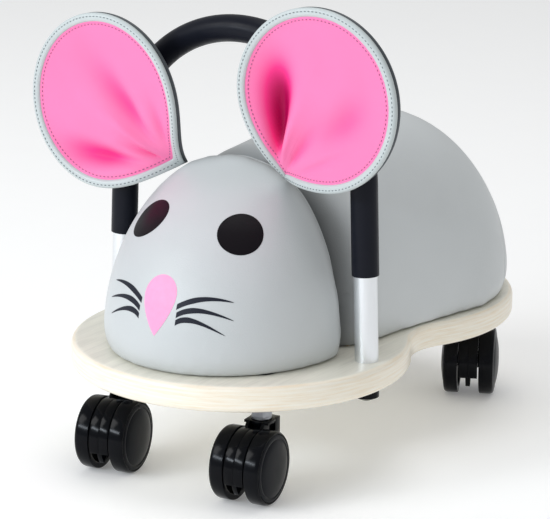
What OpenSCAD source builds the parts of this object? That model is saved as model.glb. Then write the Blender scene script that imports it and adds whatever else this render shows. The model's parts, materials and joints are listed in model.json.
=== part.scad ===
// Padded ride-on mouse: a figure-eight plywood board on four twin-wheel casters, with a
// leatherette head and body, two soft ears and an inverted U handle.
// Millimetres, +Z up, nose towards -Y. The origin is on the floor, below the middle of the board.

/* [Board] */
// Height of the board's underside above the floor
board_clearance = 67; // [62:0.5:75]
// Thickness of the plywood board
board_t = 18; // [15:0.5:24]
// Radius of the front lobe, under the head
front_r = 117; // [110:1:130]
// Radius of the rear lobe, under the body
rear_r = 112; // [105:1:125]
// Distance between the centres of the two lobes
lobe_gap = 155; // [145:1:175]
// Radius of the hollow curve at the waist
waist_r = 45; // [30:1:80]
// Width of the worn-round edge of the board
edge_round = 3; // [1:0.5:5]

/* [Handle] */
// Distance between the axes of the two legs at the board
handle_span = 202; // [194:1:210]
// Lean of the legs towards each other, in degrees
leg_lean = 2; // [0.5:0.5:4]
// Outer diameter of the steel tube
tube_d = 16; // [14:0.5:18]
// Wall of the steel tube
tube_wall = 1.5; // [1:0.1:2.5]
// Wall of the soft grip over the tube
grip_wall = 1.25; // [1:0.05:3]
// Height of the centre of the arch above the floor
arch_z = 202; // [190:1:215]
// Height of the grip's lower ends above the floor
grip_end_z = 144; // [120:1:170]
// Depth of the pocket in the board that each leg stands in
leg_pocket = 6; // [3:0.5:10]

/* [Head] */
// Half of the head's width at its back edge
head_half_w = 86; // [82:0.5:88]
// How far the head reaches forward of the handle
head_depth = 105; // [100:0.5:108]
// Height of the head's crown above the floor
head_top_z = 214; // [200:1:225]

/* [Body] */
// Half of the body's width behind the handle
body_front_half_w = 86; // [80:1:88]
// Radius of the body's round rear end
body_r = 108.5; // [100:0.5:110]
// Height of the body's back above the floor
body_top_z = 216; // [200:1:230]
// Height of the body's front edge above the floor
body_front_top_z = 211; // [195:1:225]
// Gap between the back of the head and the front of the body
neck_gap = 3; // [2:0.5:10]

/* [Soft covers] */
// Thickness of the leatherette
cover_t = 1.2; // [0.8:0.1:2]
// Thickness of the plywood plates inside the head and the body
plate_t = 9; // [6:0.5:12]

/* [Ears] */
// Half of the left ear's width, on the +X side
ear_left_rx = 61.5; // [55:0.5:64]
// Half of the right ear's width, which is folded a little more
ear_right_rx = 58; // [55:0.5:64]
// Half of an ear's height
ear_rz = 61.5; // [55:0.5:64]
// Distance of the left ear's middle from the middle plane
ear_left_x = 84; // [78:0.5:90]
// Distance of the right ear's middle from the middle plane
ear_right_x = 87; // [78:0.5:90]
// Height of the middle of the left ear
ear_left_z = 267; // [255:1:280]
// Height of the middle of the right ear, which droops a little
ear_right_z = 245; // [240:1:270]
// How far the ears stand forward of the handle
ear_forward = 40; // [32:1:46]
// Width of the grey rim round the pink panel
ear_rim = 6.5; // [4:0.5:10]

/* [Casters] */
// Diameter of the caster wheels
wheel_d = 50; // [45:1:52]
// How far an axle trails its stem
trail = 18; // [16:0.5:20]
// Half of the distance between the two front stems
stem_front_x = 56; // [50:1:62]
// Half of the distance between the two rear stems
stem_rear_x = 58; // [50:1:62]
// How far the front stems stand forward of the handle
stem_front_y = 59; // [50:1:66]
// How far the rear stems stand behind the handle
stem_rear_y = 223; // [210:1:226]

/* [Hidden] */
$fn = 64;
gap = 0.3;
running_gap = 0.05;

// Places along the board: the handle stands on the line through the front lobe's centre.
board_l = front_r + lobe_gap + rear_r;
post_y = front_r - board_l / 2;
board_top = board_clearance + board_t;
post_x = handle_span / 2;

// The legs lean in from the board and meet the arch at a tangent, so the arch's radius follows.
arch_r = (post_x - tan(leg_lean) * (arch_z - board_top)) * cos(leg_lean);
leg_foot_z = board_top - leg_pocket;
insert_l = 24;

// The waist circle touches both lobes from outside.
waist_y = (pow(lobe_gap, 2) + pow(front_r + waist_r, 2) - pow(rear_r + waist_r, 2)) / (2 * lobe_gap);
waist_x = sqrt(pow(front_r + waist_r, 2) - pow(waist_y, 2));

// Fixings
bolt_d = 8;
bolt_hole_d = 8.4;
tnut_barrel_d = 10;
tnut_flange_d = 20;
tnut_flange_t = 1.5;
hex_af = 13;
screw_d = 4;
screw_head_h = 2.2;
washer_d = 18;
washer_t = 1.6;
head_screw_spots = [[-40, -40], [40, -40], [0, -74], [0, -14]];
body_screw_spots = [[-48, 60], [48, 60], [-60, 160], [60, 160], [0, 215]];

// Casters
wheel_r = wheel_d / 2;
axle_d = 6;
housing_half_w = 7;
wheel_inner_x = 7.8;
wheel_outer_x = 18;
cap_dome = 3;
boss_d = 14;
boss_cap_d = 18;
boss_top = wheel_d + 2.5;
stem_d = 8;
stem_foot_z = 31;
stem_collar_d = 14;
hood_wall = 2.2;
hood_clear = 0.5;
CORNERS = ["front_left", "front_right", "rear_left", "rear_right"];
CORNER_STEMS = [
    [stem_front_x, -stem_front_y],
    [-stem_front_x, -stem_front_y],
    [stem_rear_x, stem_rear_y],
    [-stem_rear_x, stem_rear_y]
];
CORNER_YAWS = [7, 10, 25, 15];
CASTER_PARTS = ["stem", "locknut", "housing", "axle", "wheel_a", "wheel_b", "cap_a", "cap_b"];

// Soft shapes
head_rings = 11;
head_steps = 30;
body_rings = 11;
body_steps = 36;
ear_steps = 32;
head_z0 = board_top + 1;
body_z0 = board_top + 3;
skirt_z = board_top + 0.3;
head_back = 4;
edge_roll = 5;
edge_roll_l = 12;
body_front = head_back + neck_gap;
welt_r = 0.65;
welt_out = 0.3;
welt_gap = 0.1;
body_peak = 175;
ear_left = [ear_left_x, ear_left_rx, ear_left_z];
ear_right = [ear_right_x, ear_right_rx, ear_right_z];
rim_share = 1 - ear_rim / ear_rz;
rim_shares = [rim_share, (1 + rim_share) / 2, 1];
panel_shares = [for (i = [0 : 4]) 0.15 + (rim_share - 0.154) * i / 4];
ear_root = [42, -6, 202];
ear_tuck = 25;
ear_pull = 26;
ear_dish = 5;
ear_layer = 1.3;
ear_half_t = 2.7;
ear_pad_half_t = 1.2;

// ---------------------------------------------------------------- shared helpers

// Moves a child from the handle's line to its place along the board.
module at_posts() {
    translate([0, post_y, 0]) children();
}

module tube_z(d, hole, z0, z1) {
    translate([0, 0, z0]) difference() {
        cylinder(h = z1 - z0, d = d);
        translate([0, 0, -1]) cylinder(h = z1 - z0 + 2, d = hole);
    }
}

// A hexagonal prism, given its width across the flats.
module hexagon(af, z0, z1) {
    translate([0, 0, z0]) cylinder(h = z1 - z0, d = af / cos(30), $fn = 6);
}

function flatten(rings) = [for (r = rings) each r];

// Quads between neighbouring rings of n points, as triangles. The rings turn clockwise as seen
// from where the stack grows to; outer says whether the faces look outwards or inwards.
function ring_faces(count, n, base, outer) = [
    for (i = [0 : count - 2]) for (j = [0 : n - 1])
        let (a = base + i * n + j, b = base + i * n + (j + 1) % n, c = a + n, d = b + n)
        each outer ? [[a, b, c], [b, d, c]] : [[a, c, b], [b, c, d]]
];

// A solid dome with a flat floor, from rings that run from the floor to the crown.
module dome(rings) {
    n = len(rings[0]);
    last = (len(rings) - 1) * n;
    polyhedron(
        points = flatten(rings),
        faces = concat(
            ring_faces(len(rings), n, 0, true),
            [[for (j = [n - 1 : -1 : 0]) j]],
            [[for (j = [0 : n - 1]) last + j]]
        )
    );
}

// A skin that is open at the floor, between an outer and an inner dome.
module dome_shell(outer, inner) {
    n = len(outer[0]);
    count = len(outer);
    base = count * n;
    polyhedron(
        points = concat(flatten(outer), flatten(inner)),
        faces = concat(
            ring_faces(count, n, 0, true),
            [[for (j = [0 : n - 1]) base - n + j]],
            ring_faces(count, n, base, false),
            [[for (j = [n - 1 : -1 : 0]) 2 * base - n + j]],
            [for (j = [0 : n - 1]) let (k = (j + 1) % n) each [[j, base + j, k], [k, base + j, base + k]]]
        )
    );
}

// A sheet between two stacks of rings: closed in the middle, or open as a band.
module sheet(front, back, closed) {
    n = len(front[0]);
    count = len(front);
    base = count * n;
    mid = 2 * base;
    polyhedron(
        points = concat(flatten(front), flatten(back), closed ? [centre_of(front[0]), centre_of(back[0])] : []),
        faces = concat(
            ring_faces(count, n, 0, true),
            ring_faces(count, n, base, false),
            [for (j = [0 : n - 1]) let (k = (j + 1) % n, o = base - n)
                each [[o + j, o + k, base + o + j], [o + k, base + o + k, base + o + j]]],
            closed
                ? [for (j = [0 : n - 1]) let (k = (j + 1) % n) each [[mid, k, j], [mid + 1, base + j, base + k]]]
                : [for (j = [0 : n - 1]) let (k = (j + 1) % n) each [[j, base + j, k], [k, base + j, base + k]]]
        )
    );
}

// A round cord of radius r along points that all lie in one plane across the mouse.
module level_cord(spine, r) {
    sides = 8;
    last = len(spine) - 1;
    polyhedron(
        points = flatten([for (i = [0 : last])
            let (
                run = spine[min(i + 1, last)] - spine[max(i - 1, 0)],
                out = [-run.z, 0, run.x] / norm(run)
            )
            [for (k = [0 : sides - 1]) let (a = 360 * k / sides) spine[i] + r * [cos(a) * out.x, sin(a), cos(a) * out.z]]
        ]),
        faces = concat(
            ring_faces(last + 1, sides, 0, true),
            [[for (k = [sides - 1 : -1 : 0]) k]],
            [[for (k = [0 : sides - 1]) last * sides + k]]
        )
    );
}

function centre_of(ring) = [for (axis = [0 : 2]) sum([for (p = ring) p[axis]]) / len(ring)];
function sum(v, i = 0) = i < len(v) ? v[i] + sum(v, i + 1) : 0;
function power(v, e) = sign(v) * pow(abs(v), e);

// ---------------------------------------------------------------- board

module board_layer(h, inset0, inset1) {
    difference() {
        union() {
            cylinder(h = h, r1 = front_r - inset0, r2 = front_r - inset1, $fn = 128);
            translate([0, lobe_gap, 0]) cylinder(h = h, r1 = rear_r - inset0, r2 = rear_r - inset1, $fn = 128);
            linear_extrude(h) polygon([[0, 0], [waist_x, waist_y], [0, lobe_gap], [-waist_x, waist_y]]);
        }
        for (s = [-1, 1]) translate([s * waist_x, waist_y, 0])
            cylinder(h = h, r1 = waist_r + inset0, r2 = waist_r + inset1, $fn = 96);
    }
}

module base_board() {
    color("blanchedalmond") at_posts() translate([0, 0, board_clearance]) difference() {
        union() {
            board_layer(edge_round, edge_round, 0);
            translate([0, 0, edge_round]) board_layer(board_t - 2 * edge_round, 0, 0);
            translate([0, 0, board_t - edge_round]) board_layer(edge_round, 0, edge_round);
        }
        for (s = [-1, 1]) translate([s * post_x, 0, 0]) {
            translate([0, 0, -1]) cylinder(h = board_t + 2, d = bolt_hole_d);
            translate([0, 0, board_t - leg_pocket]) cylinder(h = leg_pocket + 1, d = tube_d + 0.7);
        }
        for (p = CORNER_STEMS) translate([p.x, p.y, 0]) {
            translate([0, 0, -1]) cylinder(h = board_t + 2, d = tnut_barrel_d + 0.1);
            translate([0, 0, board_t - tnut_flange_t - 0.1]) cylinder(h = tnut_flange_t + 1, d = tnut_flange_d + 0.2);
        }
        for (p = concat(head_screw_spots, body_screw_spots)) translate([p.x, p.y, -1])
            cylinder(h = board_t + 2, d = screw_d + 0.5);
    }
}

// ---------------------------------------------------------------- handle

// The bent rod of the handle: an arch over two leaning legs that end at the height z0.
module bent_rod(d, z0) {
    for (s = [0, 1]) mirror([s, 0, 0]) half_rod(d, z0);
}

// One leg with its side of the arch, cut off flat at the middle plane.
module half_rod(d, z0) {
    z1 = arch_z + arch_r * sin(leg_lean);
    leg_l = (z1 - z0) / cos(leg_lean);
    difference() {
        translate([arch_r * cos(leg_lean), 0, z1]) rotate([0, -leg_lean, 0]) {
            translate([0, 0, -leg_l]) cylinder(h = leg_l, d = d);
            translate([-arch_r, 0, 0]) rotate([90, 0, 0])
                rotate_extrude(angle = 91 - leg_lean, $fn = 128) translate([arch_r, 0]) circle(d = d);
        }
        translate([-20, -d, arch_z]) cube([20, 2 * d, 2 * arch_r]);
    }
}

module handle_tube() {
    color("silver") at_posts() difference() {
        bent_rod(tube_d, leg_foot_z - 1);
        bent_rod(tube_d - 2 * tube_wall, leg_foot_z - 2);
        translate([-handle_span, -tube_d, leg_foot_z - 10]) cube([2 * handle_span, 2 * tube_d, 10]);
    }
}

module handle_grip() {
    color("#20222c") at_posts() difference() {
        bent_rod(tube_d + 2 * grip_wall, grip_end_z);
        bent_rod(tube_d + 2 * running_gap, grip_end_z - 1);
    }
}

// A plug in each leaning foot, with an upright thread for the bolt.
module leg_inserts() {
    color("gray") at_posts() for (s = [-1, 1]) translate([s * post_x, 0, board_top]) difference() {
        rotate([0, -s * leg_lean, 0]) translate([0, 0, 0.4 - leg_pocket])
            cylinder(h = insert_l, d = tube_d - 2 * tube_wall - 0.1);
        translate([0, 0, -leg_pocket - 1]) cylinder(h = insert_l + 4, d = bolt_d + 0.1);
    }
}

module leg_washers() {
    color("silver") at_posts() for (s = [-1, 1]) translate([s * post_x, 0, 0])
        tube_z(washer_d, bolt_hole_d, board_clearance - washer_t, board_clearance);
}

module leg_bolts() {
    head_z = board_clearance - washer_t;
    color("silver") at_posts() for (s = [-1, 1]) translate([s * post_x, 0, 0]) {
        translate([0, 0, head_z - 0.01]) cylinder(h = board_top + 12 - head_z, d = bolt_d);
        hexagon(hex_af, head_z - 5.3, head_z);
    }
}

// A black dome pressed over each bolt head.
module leg_caps() {
    top = board_clearance - washer_t;
    color("#101216") at_posts() for (s = [-1, 1]) translate([s * post_x, 0, 0]) difference() {
        union() {
            translate([0, 0, top - 5.4]) cylinder(h = 5.4, r = 8.8);
            translate([0, 0, top - 8]) cylinder(h = 2.6, r1 = 3.5, r2 = 8.8);
        }
        hexagon(hex_af + 0.2, top - 5.4, top + 1);
    }
}

// ---------------------------------------------------------------- head

// One level ring of the head: a round front, and a back whose edges roll in towards the seam.
// up runs from 0 to 90 degrees.
function head_ring(up, inset, z_low) =
    let (
        grow = up < 0 ? 0 : up,
        narrow = pow(cos(grow), 0.82),
        shorten = 1 - pow(sin(grow), 2.8),
        z = up < 0 ? z_low : head_z0 + (head_top_z - inset - head_z0) * sin(grow),
        tuck = up < 0 ? 0.96 : 1,
        w = (head_half_w - inset) * narrow * tuck,
        d = (head_depth - inset) * shorten * tuck,
        back = head_back - inset
    )
    concat(
        [for (k = [0 : head_steps]) let (a = 180 * k / head_steps)
            [w * cos(a), (edge_roll_l - back - d) * sin(a) + back - edge_roll_l, z]],
        [for (s = [-1, 1]) [s * (w - edge_roll * narrow), back, z]]
    );

function head_stack(inset, z_low) = concat(
    [head_ring(-1, inset, z_low)],
    [for (i = [0 : head_rings - 1]) head_ring(4 + 83 * i / (head_rings - 1), inset, z_low)]
);

module head_cover() {
    color("#c8cecf") at_posts()
        dome_shell(head_stack(0, skirt_z), head_stack(cover_t, skirt_z));
}

module head_foam() {
    color("khaki") at_posts() difference() {
        dome(head_stack(cover_t + gap, skirt_z));
        translate([0, 0, board_top - 1]) linear_extrude(plate_t + 1 + 0.1) head_plate_outline(0.3);
    }
}

module head_plate_outline(grow) {
    r = head_half_w - 14 + grow;
    difference() {
        translate([0, -8]) scale([1, 1.08]) circle(r = r);
        translate([-150, -8 + grow]) square([300, 200]);
    }
}

module head_board() {
    color("burlywood") at_posts() difference() {
        translate([0, 0, board_top]) linear_extrude(plate_t) head_plate_outline(0);
        for (p = head_screw_spots) translate([p.x, p.y, board_top - 1]) cylinder(h = plate_t + 2, d = screw_d - 0.6);
    }
}

// The sewn ridge along the back edge of the head.
module head_welt() {
    rise = head_top_z - head_z0;
    spine = [for (a = [2 : 4 : 178])
        [(head_half_w - edge_roll + welt_out) * power(cos(a), 0.82), head_back + welt_r + welt_gap,
         head_z0 + (rise + welt_out) * sin(a)]];
    color("#b9bfc0") at_posts() level_cord(spine, welt_r);
}

// ---------------------------------------------------------------- body

// Half-width of the body's floor plan at a place y behind the handle.
function body_half_w(y) = y < lobe_gap
    ? body_front_half_w + (body_r - body_front_half_w) * pow(max(0, (y - 35) / (lobe_gap - 35)), 1.3)
    : sqrt(max(0, pow(body_r, 2) - pow(y - lobe_gap, 2)));

// How far the body's front edge rolls in towards the seam at a place y.
function front_roll(y) =
    let (near = max(0, 1 - (y - body_front) / edge_roll_l))
    edge_roll * (1 - sqrt(1 - near * near));

// How far back the body reaches at a share t of its height, and its height at a place y.
function body_rear(t) = body_peak + (lobe_gap + body_r - body_peak) * pow(1 - pow(t, 1.35), 1 / 1.35);
function body_height(y) =
    let (
        full = body_top_z - body_z0,
        u = (y - body_peak) / (lobe_gap + body_r - body_peak),
        v = (body_peak - y) / (body_peak - body_front)
    )
    y < body_peak
        ? full - (body_top_z - body_front_top_z) * v * v - front_roll(y)
        : full * pow(max(0.0001, 1 - pow(min(u, 1), 1.35)), 1 / 1.35);

// One level ring of the body at a share t of its height.
function body_ring(t, inset, z_low) =
    let (
        tuck = t < 0 ? 0.97 : 1,
        level = max(t, 0),
        z = t < 0 ? z_low : body_z0 + (body_top_z - inset - body_z0) * level,
        rear = body_rear(level)
    )
    [for (k = [0 : body_steps])
        let (
            a = 180 * k / body_steps - 90,
            y = body_front + (rear - body_front) * cos(a),
            rel = min(1, level * (body_top_z - body_z0) / body_height(y)),
            half = (body_half_w(min(y, lobe_gap + body_r - 0.01)) - front_roll(y))
                * pow(max(0, 1 - pow(rel, 2.3)), 1 / 2.3),
            x = max(abs(a) < 0.01 ? 0 : 0.2, half) * sign(a),
            shrink_x = (body_r - inset) / body_r * tuck,
            shrink_y = (lobe_gap + body_r - inset - body_front - inset) / (lobe_gap + body_r - body_front)
        )
        [x * shrink_x, body_front + inset + (y - body_front) * shrink_y * tuck, z]
    ];

function body_stack(inset, z_low) = concat(
    [body_ring(-1, inset, z_low)],
    [for (i = [0 : body_rings - 1]) body_ring(0.06 + 0.93 * sin(90 * i / (body_rings - 1)), inset, z_low)]
);

module body_cover() {
    color("#c4c8c8") at_posts()
        dome_shell(body_stack(0, skirt_z), body_stack(cover_t, skirt_z));
}

module body_foam() {
    color("khaki") at_posts() difference() {
        dome(body_stack(cover_t + gap, skirt_z));
        translate([0, 0, board_top - 1]) linear_extrude(plate_t + 1 + 0.1) body_plate_outline(0.3);
    }
}

module body_plate_outline(grow) {
    r = body_r - 16 + grow;
    translate([0, lobe_gap]) circle(r = r);
    translate([-body_front_half_w + 12 - grow, body_front + 12 - grow])
        square([2 * (body_front_half_w - 12 + grow), 100]);
}

module body_board() {
    color("burlywood") at_posts() difference() {
        translate([0, 0, board_top]) linear_extrude(plate_t) body_plate_outline(0);
        for (p = body_screw_spots) translate([p.x, p.y, board_top - 1]) cylinder(h = plate_t + 2, d = screw_d - 0.6);
    }
}

// The sewn ridge along the front edge of the body.
module body_welt() {
    rise = body_front_top_z - edge_roll - body_z0;
    spine = [for (a = [2 : 4 : 178])
        [(body_front_half_w - edge_roll + welt_out) * power(cos(a), 2 / 2.3), body_front - welt_r - welt_gap,
         body_z0 + (rise + welt_out) * pow(sin(a), 2 / 2.3)]];
    color("#b2b8b8") at_posts() level_cord(spine, welt_r);
}

// ---------------------------------------------------------------- ears

// A point of the ear at a share r of the way from its middle to its edge, in direction th.
// The edge is drawn to the root, and the sheet runs back to it like the base of a petal.
function ear_point(ear, r, th, off) =
    let (
        mid = [ear.x, ear.z],
        root_dir = atan2(ear_root.z - mid.y, ear_root.x - mid.x),
        turn = abs(((th - root_dir + 540) % 360) - 180),
        pull = exp(-pow(turn / ear_pull, 2)),
        edge = mid + [ear.y * cos(th), ear_rz * sin(th)],
        rim = edge * (1 - pull) + [ear_root.x, ear_root.z] * pull,
        p = mid * (1 - r) + rim * r,
        near = norm(p - [ear_root.x, ear_root.z]),
        y = -ear_forward + (ear_forward + ear_root.y) * exp(-near / ear_tuck) + ear_dish * (1 - r * r)
    )
    [p.x, y + off, p.y];

function ear_rings(ear, shares, off) = [
    for (r = shares) [for (j = [0 : ear_steps - 1]) ear_point(ear, r, 360 * j / ear_steps, off)]
];

// One layer of an ear between two depths, mirrored for the right ear.
module ear_layer_solid(side, shares, off0, off1, closed) {
    ear = side == "left" ? ear_left : ear_right;
    mirror([side == "left" ? 0 : 1, 0, 0])
        sheet(ear_rings(ear, shares, off0), ear_rings(ear, shares, off1), closed);
}

module ear_front(side) {
    color("#ff7cc0") at_posts()
        ear_layer_solid(side, panel_shares, -ear_half_t, ear_layer - ear_half_t, true);
}

module ear_rim(side) {
    color("#d9e1e1") at_posts() ear_layer_solid(side, rim_shares, -ear_half_t - 0.2, ear_layer - ear_half_t, false);
}

module ear_pad(side) {
    color("khaki") at_posts() ear_layer_solid(side, panel_shares, -ear_pad_half_t, ear_pad_half_t, true);
}

module ear_back(side) {
    color("#5d646a") at_posts() ear_layer_solid(side, concat(panel_shares, [1]), ear_half_t - ear_layer, ear_half_t, true);
}

// ---------------------------------------------------------------- fixings in the board

module caster_tnuts() {
    color("silver") at_posts() for (p = CORNER_STEMS) translate([p.x, p.y, 0]) difference() {
        union() {
            translate([0, 0, board_top - tnut_flange_t]) cylinder(h = tnut_flange_t, d = tnut_flange_d);
            translate([0, 0, board_top - 13]) cylinder(h = 12, d = tnut_barrel_d);
        }
        translate([0, 0, board_top - 14]) cylinder(h = 20, d = stem_d + 0.1);
    }
}

module plate_screws() {
    color("silver") at_posts() for (p = concat(head_screw_spots, body_screw_spots))
        translate([p.x, p.y, board_clearance]) {
            translate([0, 0, -screw_head_h]) cylinder(h = screw_head_h, d1 = 1.5 * screw_d, d2 = 2 * screw_d);
            translate([0, 0, -0.01]) cylinder(h = board_t + plate_t - 3, d = screw_d - 1);
        }
}

// ---------------------------------------------------------------- casters

// Places a caster, whose own frame has the stem on Z and the axle along X, at a corner.
module at_corner(i) {
    translate([CORNER_STEMS[i].x, post_y + CORNER_STEMS[i].y, 0]) rotate([0, 0, CORNER_YAWS[i]]) children();
}

module at_axle() {
    translate([0, -trail, wheel_r]) rotate([0, 90, 0]) children();
}

module caster_stem(i) {
    color("silver") at_corner(i) {
        translate([0, 0, stem_foot_z]) cylinder(h = board_top - 1 - stem_foot_z, d = stem_d);
        translate([0, 0, boss_top + 0.3]) cylinder(h = 1.5, d = stem_collar_d);
        hexagon(hex_af, boss_top + 1.8, boss_top + 6);
    }
}

module caster_locknut(i) {
    color("silver") at_corner(i) difference() {
        hexagon(hex_af, board_clearance - 6.5, board_clearance);
        translate([0, 0, board_clearance - 7]) cylinder(h = 8, d = stem_d + 0.1);
    }
}

// A hood between the wheels, a web down to the axle, and a boss for the stem.
module caster_housing(i) {
    color("#0b0c10") at_corner(i) difference() {
        union() {
            intersection() {
                at_axle() difference() {
                    translate([0, 0, -housing_half_w]) cylinder(h = 2 * housing_half_w, r = wheel_r - hood_clear);
                    translate([0, 0, -housing_half_w - 1])
                        cylinder(h = 2 * housing_half_w + 2, r = wheel_r - hood_clear - hood_wall);
                }
                hood_sector(-22, 178, 2 * housing_half_w + 2);
            }
            intersection() {
                at_axle() translate([0, 0, -1.8]) cylinder(h = 3.6, r = wheel_r - hood_clear - 0.4);
                hood_sector(-50, 200, 10);
            }
            at_axle() translate([0, 0, -housing_half_w]) cylinder(h = 2 * housing_half_w, d = 12);
            translate([0, 0, 24]) cylinder(h = boss_top - 24, d = boss_d);
            translate([0, 0, boss_top - 3]) cylinder(h = 3, d = boss_cap_d);
        }
        translate([0, 0, stem_foot_z - 0.5]) cylinder(h = 40, d = stem_d + 2 * running_gap);
        at_axle() translate([0, 0, -20]) cylinder(h = 40, d = axle_d + 2 * running_gap);
    }
}

// A wedge about the axle, from one angle to another: 0 faces away from the stem and 90 is up.
module hood_sector(from, to, width) {
    steps = 6;
    translate([width / 2, -trail, wheel_r]) rotate([0, -90, 0]) linear_extrude(width)
        polygon(concat([[0, 0]], [for (k = [0 : steps])
            let (a = from + (to - from) * k / steps) [60 * sin(a), -60 * cos(a)]]));
}

module caster_axle(i) {
    color("silver") at_corner(i) at_axle() translate([0, 0, -wheel_outer_x + 0.5])
        cylinder(h = 2 * wheel_outer_x - 1, d = axle_d);
}

// The section of a wheel: a tread, a web and a hub, hollow towards the housing.
module caster_wheel(i, s) {
    bore = axle_d / 2 + running_gap;
    color("#08090c") at_corner(i) at_axle() mirror([0, 0, s < 0 ? 1 : 0]) rotate_extrude($fn = 96) polygon([
        [bore, wheel_inner_x + 0.5], [6.5, wheel_inner_x + 0.5], [6.5, 14.5], [20.8, 14.5], [20.8, wheel_inner_x],
        [wheel_r - 0.8, wheel_inner_x], [wheel_r, wheel_inner_x + 0.8], [wheel_r, 15.2], [24.5, 16.8],
        [23.2, wheel_outer_x], [22.3, wheel_outer_x], [22.3, 17], [bore, 17]
    ]);
}

// The domed disc that closes the outer face of a wheel.
module caster_cap(i, s) {
    color("#111319") at_corner(i) at_axle() mirror([0, 0, s < 0 ? 1 : 0]) rotate_extrude($fn = 96) polygon([
        [0, wheel_outer_x - 0.3], [18, wheel_outer_x - 0.3], [18, 17.05], [22.2, 17.05], [22.2, wheel_outer_x + 0.2],
        [20, wheel_outer_x + 1.2], [14, wheel_outer_x + 2.4], [7, wheel_outer_x + cap_dome], [0, wheel_outer_x + cap_dome]
    ]);
}

module caster_part(i, part) {
    if (part == "stem") caster_stem(i);
    if (part == "locknut") caster_locknut(i);
    if (part == "housing") caster_housing(i);
    if (part == "axle") caster_axle(i);
    if (part == "wheel_a") caster_wheel(i, 1);
    if (part == "wheel_b") caster_wheel(i, -1);
    if (part == "cap_a") caster_cap(i, 1);
    if (part == "cap_b") caster_cap(i, -1);
}

// ---------------------------------------------------------------- output

base_board();
handle_tube();
handle_grip();
leg_inserts();
leg_washers();
leg_bolts();
leg_caps();
caster_tnuts();
plate_screws();
head_board();
head_foam();
head_cover();
head_welt();
body_board();
body_foam();
body_cover();
body_welt();
for (side = ["left", "right"]) {
    ear_front(side);
    ear_rim(side);
    ear_pad(side);
    ear_back(side);
}
for (i = [0 : 3]) for (part = CASTER_PARTS)
    caster_part(i, part);
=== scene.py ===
"""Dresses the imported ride-on mouse: plywood board, bright handle, glossy casters, leatherette head
and body, a printed face and two soft pink ears. Sizes are in metres, in the frame's own axes."""

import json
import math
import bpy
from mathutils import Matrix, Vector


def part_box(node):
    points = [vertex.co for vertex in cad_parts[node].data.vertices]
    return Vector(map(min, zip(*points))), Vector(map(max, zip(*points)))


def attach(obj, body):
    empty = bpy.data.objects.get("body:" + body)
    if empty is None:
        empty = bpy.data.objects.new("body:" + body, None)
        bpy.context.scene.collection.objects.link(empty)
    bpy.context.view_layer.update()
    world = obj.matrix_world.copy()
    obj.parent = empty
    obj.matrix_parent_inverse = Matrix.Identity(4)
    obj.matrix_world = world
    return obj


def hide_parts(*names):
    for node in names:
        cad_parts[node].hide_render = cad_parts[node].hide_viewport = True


bl_info = {
    "name": "Padded Ride-on Mouse",
    "version": (1, 0, 0),
    "blender": (4, 5, 0),
    "location": "3D View > Sidebar > Ride-on",
    "description": "Builds the visible pieces and finishes of a padded ride-on mouse",
    "category": "Object",
}

import bmesh
import bpy
from bpy.props import FloatProperty, FloatVectorProperty, PointerProperty
from mathutils import Matrix, Vector, noise
from mathutils.bvhtree import BVHTree

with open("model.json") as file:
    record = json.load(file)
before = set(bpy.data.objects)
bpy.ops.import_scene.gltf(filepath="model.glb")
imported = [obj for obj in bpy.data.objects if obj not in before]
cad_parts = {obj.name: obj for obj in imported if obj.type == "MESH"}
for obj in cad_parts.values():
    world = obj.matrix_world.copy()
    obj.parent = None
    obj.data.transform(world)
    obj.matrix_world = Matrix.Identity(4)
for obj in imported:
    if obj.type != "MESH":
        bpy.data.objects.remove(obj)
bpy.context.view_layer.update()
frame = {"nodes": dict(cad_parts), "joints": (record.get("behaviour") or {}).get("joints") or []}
MM = 0.001
BOARD_LOW, BOARD_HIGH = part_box("base_board")
TUBE_LOW, TUBE_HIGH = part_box("handle_tube")
POST_Y = (TUBE_LOW.y + TUBE_HIGH.y) / 2
BOARD_TOP = BOARD_HIGH.z
JOINTS = {joint["name"]: joint for joint in frame["joints"]}
CORNERS = ("front_left", "front_right", "rear_left", "rear_right")


# ---------------------------------------------------------------- settings


def length(name, description, default):
    """A distance that a user would change, in metres."""
    return FloatProperty(name=name, description=description, default=default, unit="LENGTH", precision=4)


def angle(name, description, degrees):
    """An angle that a user would change, given in degrees."""
    return FloatProperty(name=name, description=description, default=math.radians(degrees), subtype="ANGLE")


def factor(name, description, default):
    """A plain number that a user would change."""
    return FloatProperty(name=name, description=description, default=default)


def colour(name, description, default):
    """A surface colour in linear RGB."""
    return FloatVectorProperty(
        name=name, description=description, default=default, subtype="COLOR", size=3, min=0.0, max=1.0
    )


class BoardSettings(bpy.types.PropertyGroup):
    """Sizes and colours of the plywood board"""

    front_radius: length("Front radius", "Radius of the lobe under the head", 0.117)
    rear_radius: length("Rear radius", "Radius of the lobe under the body", 0.112)
    lobe_gap: length("Lobe gap", "Distance between the centres of the two lobes", 0.155)
    waist_radius: length("Waist radius", "Radius of the hollow curve at the waist", 0.045)
    edge_radius: length("Edge radius", "Radius of the rounded edges", 0.0045)
    ply: length("Ply", "Thickness of one veneer in the edge", 0.0014)
    veneer: colour("Veneer", "Colour of the face veneer", (0.86, 0.83, 0.72))
    edge: colour("Edge", "Colour of the pale plies in the edge", (0.97, 0.92, 0.80))
    edge_dark: colour("Dark ply", "Colour of the end-grain plies", (0.86, 0.70, 0.48))


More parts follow.
